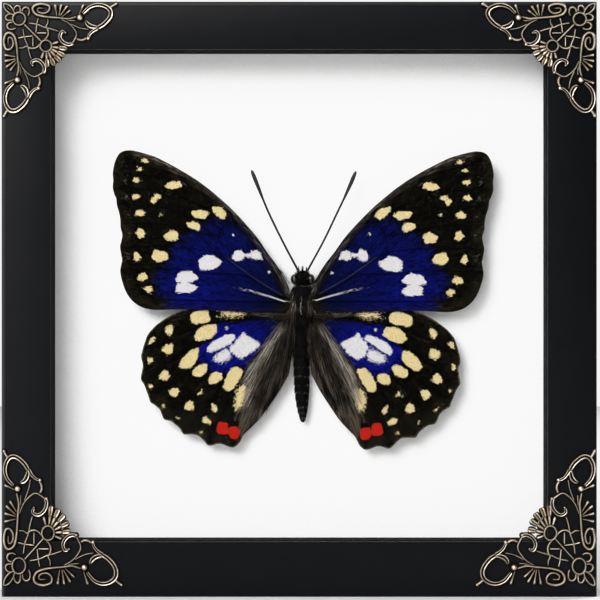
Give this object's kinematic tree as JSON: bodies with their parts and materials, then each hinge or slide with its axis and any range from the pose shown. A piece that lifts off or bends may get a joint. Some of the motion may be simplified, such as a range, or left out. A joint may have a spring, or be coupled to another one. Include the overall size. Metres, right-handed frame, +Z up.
{
  "type": "framed butterfly specimen",
  "caption": "Small black shadow box with antique brass filigree corners, holding a spread butterfly, black and deep blue with cream, white and red spots, on a white card behind glass.",
  "frame": {"origin": "middle of the bottom rail's underside, halfway through the frame's depth", "axes": "+Z up; the front with the pane and the castings faces -Y; +X to the viewer's right"},
  "size_m": [0.15, 0.0299, 0.15],
  "materials": {
    "rail_paint": "black satin paint on wood, faint grain, slightly worn edges",
    "pane": "clear polished picture glass",
    "spacer_card": "matt black board strips",
    "card": "white card with a fine felt texture",
    "board": "raw brown fibreboard",
    "point_steel": "zinc-plated sheet steel",
    "hanger_brass": "stamped brass-plated steel",
    "corner_brass": "antique brass, bright ridges and dark brown recesses",
    "body_hair": "black chitin under grey-brown hair",
    "eye": "glossy dark compound eye",
    "antenna": "dark brown, rust-brown at the tip",
    "wing_scales": "matt scales: velvet black and deep blue, cream, white and red spots",
    "leg": "dark brown chitin"
  },
  "bodies": {
    "root": {"rail_top": "rail_paint", "rail_bottom": "rail_paint", "rail_left": "rail_paint", "rail_right": "rail_paint", "glass_pane": "pane", "spacer_top": "spacer_card", "spacer_bottom": "spacer_card", "spacer_left": "spacer_card", "spacer_right": "spacer_card", "mount_card": "card", "back_board": "board", "tab_top_1": "point_steel", "tab_top_2": "point_steel", "tab_bottom_1": "point_steel", "tab_bottom_2": "point_steel", "tab_left_1": "point_steel", "tab_left_2": "point_steel", "tab_right_1": "point_steel", "tab_right_2": "point_steel", "hanger": "hanger_brass", "hanger_nail_left": "hanger_brass", "hanger_nail_right": "hanger_brass", "corner_top_left": "corner_brass", "corner_top_right": "corner_brass", "corner_bottom_left": "corner_brass", "corner_bottom_right": "corner_brass", "body": "body_hair", "eye_left": "eye", "eye_right": "eye", "antenna_left": "antenna", "antenna_right": "antenna", "forewing_left": "wing_scales", "forewing_right": "wing_scales", "hindwing_left": "wing_scales", "hindwing_right": "wing_scales", "leg_mid_left": "leg", "leg_hind_left": "leg", "leg_mid_right": "leg", "leg_hind_right": "leg"}
  },
  "joints": []
}
